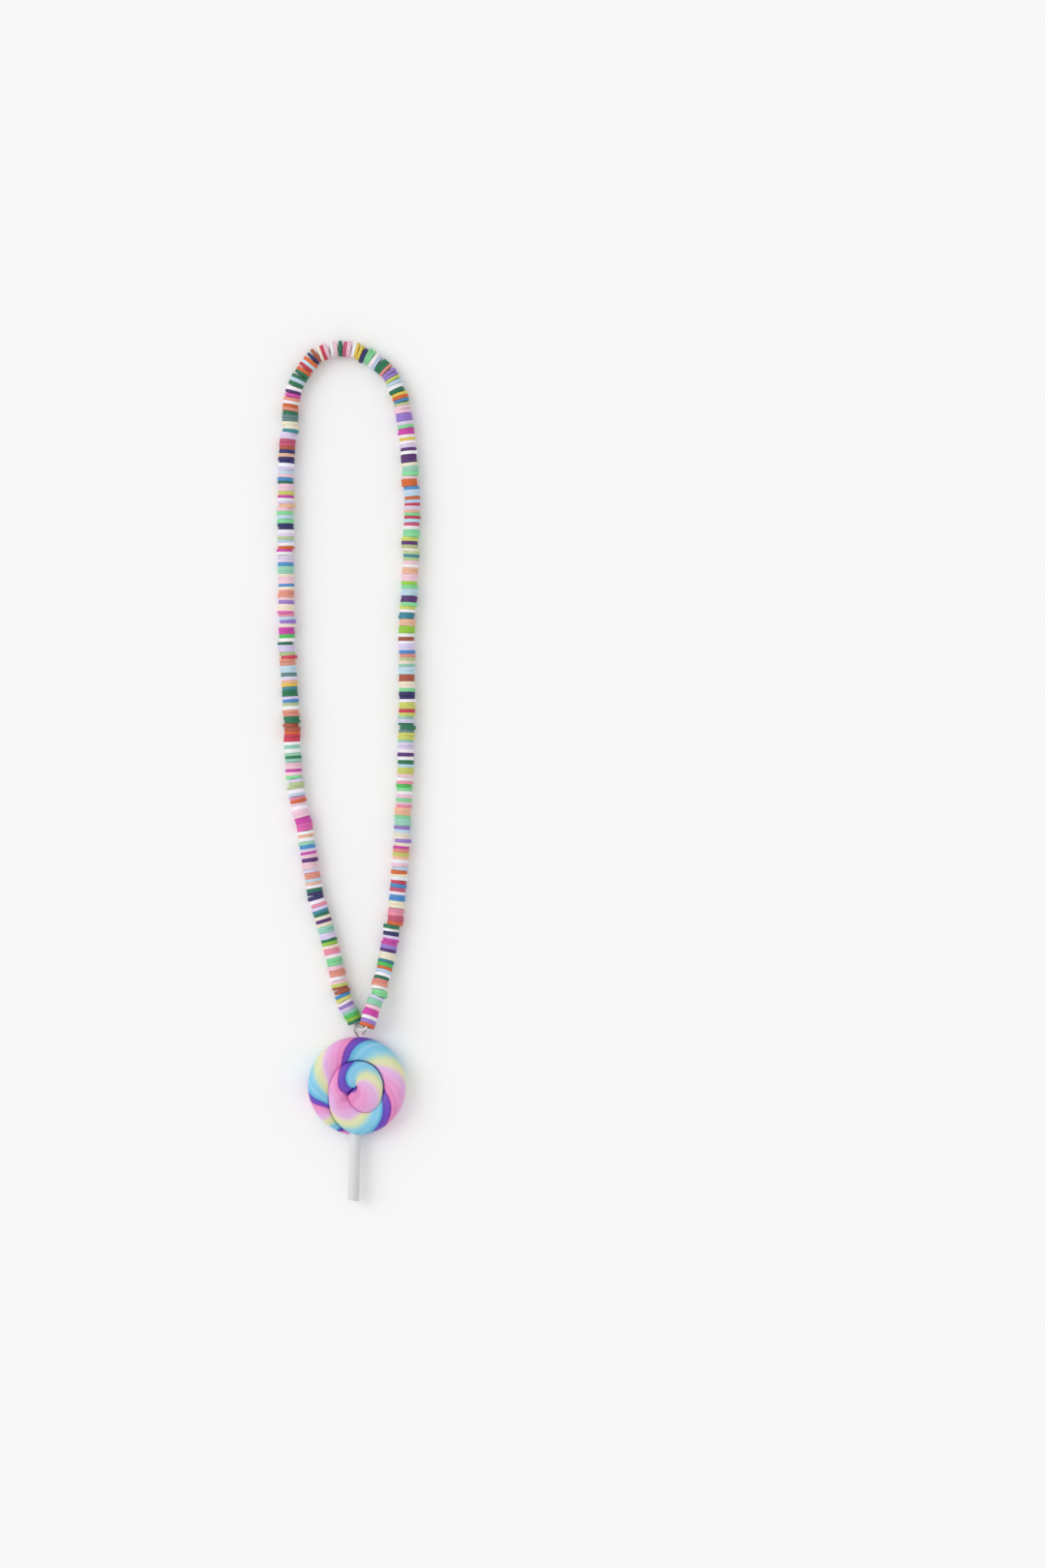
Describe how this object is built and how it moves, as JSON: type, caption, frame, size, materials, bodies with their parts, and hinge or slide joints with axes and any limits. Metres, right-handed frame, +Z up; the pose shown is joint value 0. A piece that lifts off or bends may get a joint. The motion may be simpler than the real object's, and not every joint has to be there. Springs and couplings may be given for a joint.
{
  "type": "child's bead necklace with lollipop charm",
  "caption": "Child's stretch necklace of stacked clay disc beads in mixed candy colours, with a swirl lollipop charm on a stick hanging from a small wire eye.",
  "frame": {"origin": "middle of the whole necklace's box, on the table it lies on", "axes": "+Z up from the table, out of the shown side; +Y from the charm's stick to the top of the bead loop; +X to the right as seen from above"},
  "size_m": [0.0522, 0.314, 0.0107],
  "materials": {
    "bead_white": "baked polymer clay, matt",
    "bead_pale_pink": "baked polymer clay, matt",
    "bead_pale_lilac": "baked polymer clay, matt",
    "bead_pale_blue": "baked polymer clay, matt",
    "bead_mint": "baked polymer clay, matt",
    "bead_dark_green": "baked polymer clay, matt",
    "bead_golden_yellow": "baked polymer clay, matt",
    "bead_lime_yellow": "baked polymer clay, matt",
    "bead_orange": "baked polymer clay, matt",
    "bead_peach": "baked polymer clay, matt",
    "bead_rose": "baked polymer clay, matt",
    "bead_magenta": "baked polymer clay, matt",
    "bead_lilac": "baked polymer clay, matt",
    "bead_navy": "baked polymer clay, matt",
    "bead_sky_blue": "baked polymer clay, matt",
    "bead_teal": "baked polymer clay, matt",
    "lollipop_clay": "baked polymer clay in pink, lilac, blue, yellow and purple, silky",
    "stick_white": "matt white",
    "eye_silver": "bright silver plating",
    "elastic": "clear to milky stretch cord"
  },
  "bodies": {
    "root": {"bead_run_01": "bead_white", "bead_run_02": "bead_pale_pink", "bead_run_03": "bead_pale_lilac", "bead_run_04": "bead_pale_blue", "bead_run_05": "bead_mint", "bead_run_06": "bead_dark_green", "bead_run_07": "bead_golden_yellow", "bead_run_08": "bead_lime_yellow", "bead_run_09": "bead_orange", "bead_run_10": "bead_peach", "bead_run_11": "bead_rose", "bead_run_12": "bead_magenta", "bead_run_13": "bead_lilac", "bead_run_14": "bead_navy", "bead_run_15": "bead_sky_blue", "bead_run_16": "bead_teal", "bead_run_17": "bead_white", "bead_run_18": "bead_pale_pink", "bead_run_19": "bead_pale_lilac", "bead_run_20": "bead_pale_blue", "bead_run_21": "bead_mint", "bead_run_22": "bead_dark_green", "bead_run_23": "bead_golden_yellow", "bead_run_24": "bead_lime_yellow", "bead_run_25": "bead_orange", "bead_run_26": "bead_peach", "bead_run_27": "bead_rose", "bead_run_28": "bead_magenta", "bead_run_29": "bead_lilac", "elastic_cord": "elastic", "lollipop_head": "lollipop_clay", "stick": "stick_white", "wire_eye": "eye_silver"}
  },
  "joints": []
}
